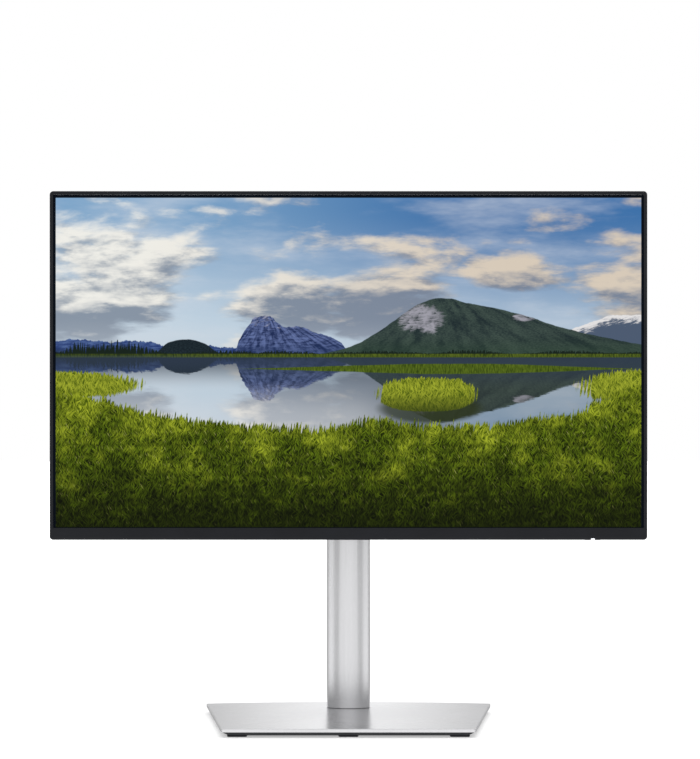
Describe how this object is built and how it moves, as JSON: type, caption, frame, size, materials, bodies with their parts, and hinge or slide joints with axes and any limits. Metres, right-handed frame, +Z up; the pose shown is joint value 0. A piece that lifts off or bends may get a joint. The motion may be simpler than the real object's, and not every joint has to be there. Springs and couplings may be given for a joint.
{
  "type": "computer monitor",
  "caption": "Thin-framed widescreen desktop display on a slim column stand with height lift, swivel, tilt and portrait pivot, and a flat trapezoid base.",
  "frame": {"origin": "on the stand's swivel axis, at the desk surface under the rubber feet", "axes": "+Z up; the screen faces -Y; +X to the right of a person facing the screen"},
  "size_m": [0.5378, 0.1879, 0.482],
  "materials": {
    "satin_silver": "satin",
    "silver_plastic": "painted silver",
    "base_black": "matte",
    "bezel_black": "fine texture",
    "cover_black": "fine texture",
    "trim_black": "satin",
    "key_plastic": "satin",
    "light_lens": "clear",
    "screen": "picture panel",
    "sheet_white": "diffusing film",
    "light_guide": "clear acrylic",
    "led_board": "white board",
    "zinc_steel": "zinc plated",
    "bright_steel": "ground",
    "spring_steel": "blued",
    "black_screw": "black zinc",
    "cast_metal": "die cast",
    "nylon": "natural",
    "circuit_board": "solder mask",
    "flat_cable": "film",
    "socket_metal": "nickel",
    "socket_black": "matte",
    "foot_rubber": "matte"
  },
  "bodies": {
    "base": {"base_plate": "satin_silver", "base_cover": "base_black", "base_weight": "zinc_steel", "rubber_feet": "foot_rubber", "base_screws": "black_screw", "swivel_hub": "cast_metal"},
    "thumbscrew": {"thumbscrew": "bright_steel"},
    "thumb_ring": {"thumb_ring": "bright_steel"},
    "riser": {"riser_foot": "cast_metal", "riser_front_shell": "satin_silver", "riser_rear_cover": "silver_plastic", "riser_top_cap": "silver_plastic", "column_channel": "zinc_steel", "guide_rods": "bright_steel", "spring_strip": "spring_steel", "swivel_washers": "bright_steel", "swivel_nut": "bright_steel", "cable_clip": "trim_black"},
    "carriage": {"carriage": "cast_metal", "slide_bushes": "nylon", "tilt_bracket": "zinc_steel", "tilt_pin": "bright_steel"},
    "spring_drum": {"spring_drum": "nylon", "spring_coil": "spring_steel"},
    "tilt_arm": {"pivot_bracket": "zinc_steel", "tilt_washers": "bright_steel", "hinge_shroud": "trim_black"},
    "head": {"mount_plate": "zinc_steel", "pivot_shaft": "bright_steel", "pivot_washers": "bright_steel", "pivot_nut": "bright_steel", "front_bezel": "bezel_black", "power_light": "light_lens", "key_board": "circuit_board", "lcd_panel": "screen", "prism_sheet": "sheet_white", "diffuser_sheet": "sheet_white", "light_guide": "light_guide", "reflector_sheet": "sheet_white", "led_strip": "led_board", "panel_tray": "zinc_steel", "driver_board": "circuit_board", "panel_cable": "flat_cable", "chassis_plate": "zinc_steel", "mount_standoffs": "bright_steel", "main_board": "circuit_board", "board_shield": "zinc_steel", "power_board": "circuit_board", "power_inlet": "socket_black", "signal_ports": "socket_metal", "rear_cover": "cover_black", "cover_screws": "black_screw", "joystick_housing": "nylon"},
    "release_catch": {"release_latch": "bright_steel", "release_button": "trim_black", "release_springs": "spring_steel"},
    "power_button": {"power_button": "key_plastic"},
    "joystick_gimbal": {"joystick_gimbal": "nylon"},
    "joystick_stem": {"joystick_stem": "nylon"},
    "joystick_cap": {"joystick_cap": "key_plastic"}
  },
  "joints": [
    {"name": "swivel", "type": "hinge", "parent": "base", "child": "riser", "pos_m": [0, 0, 0.008], "axis": [0, 0, 1], "range_deg": [-45, 45]},
    {"name": "height", "type": "slide", "parent": "riser", "child": "carriage", "axis": [0, 0, 1], "range_m": [-0.1356, 0.0144], "deforming": ["spring_strip"]},
    {"name": "drum_turn", "type": "hinge", "parent": "carriage", "child": "spring_drum", "pos_m": [0, 0, 0.303], "axis": [1, 0, 0], "range_deg": [-110, 980]},
    {"name": "tilt", "type": "hinge", "parent": "carriage", "child": "tilt_arm", "pos_m": [0, -0.03, 0.325], "axis": [-1, 0, 0], "range_deg": [-5, 21]},
    {"name": "pivot", "type": "hinge", "parent": "tilt_arm", "child": "head", "pos_m": [0, -0.0453, 0.325], "axis": [0, 1, 0], "range_deg": [0, 90]},
    {"name": "unlatch_button", "type": "slide", "parent": "head", "child": "release_catch", "axis": [0, 0, 1], "range_m": [0, 0.004], "stiffness_N_per_m": 900, "deforming": ["release_springs"]},
    {"name": "underside_power_key", "type": "slide", "parent": "head", "child": "power_button", "axis": [0, 0, 1], "range_m": [0, 0.0006], "stiffness_N_per_m": 900},
    {"name": "thumbscrew_turn", "type": "hinge", "parent": "base", "child": "thumbscrew", "pos_m": [0, 0, 0.0031], "axis": [0, 0, 1], "continuous": true},
    {"name": "thumb_ring_fold", "type": "hinge", "parent": "thumbscrew", "child": "thumb_ring", "pos_m": [0, 0, 0.0031], "axis": [1, 0, 0], "range_deg": [0, 90]},
    {"name": "user_stick_updown", "type": "hinge", "parent": "head", "child": "joystick_gimbal", "pos_m": [0.238, -0.066, 0.226], "axis": [1, 0, 0], "range_deg": [-8, 8], "stiffness_Nm_per_rad": 0.02},
    {"name": "user_stick_sideways", "type": "hinge", "parent": "joystick_gimbal", "child": "joystick_stem", "pos_m": [0.238, -0.066, 0.226], "axis": [0, 0, 1], "range_deg": [-8, 8], "stiffness_Nm_per_rad": 0.02},
    {"name": "user_stick_press", "type": "slide", "parent": "joystick_stem", "child": "joystick_cap", "axis": [0, -1, 0], "range_m": [0, 0.0005], "stiffness_N_per_m": 1500}
  ],
  "couplings": [
    {"joint": "drum_turn", "follows": "height", "rad_per_m": -125}
  ]
}
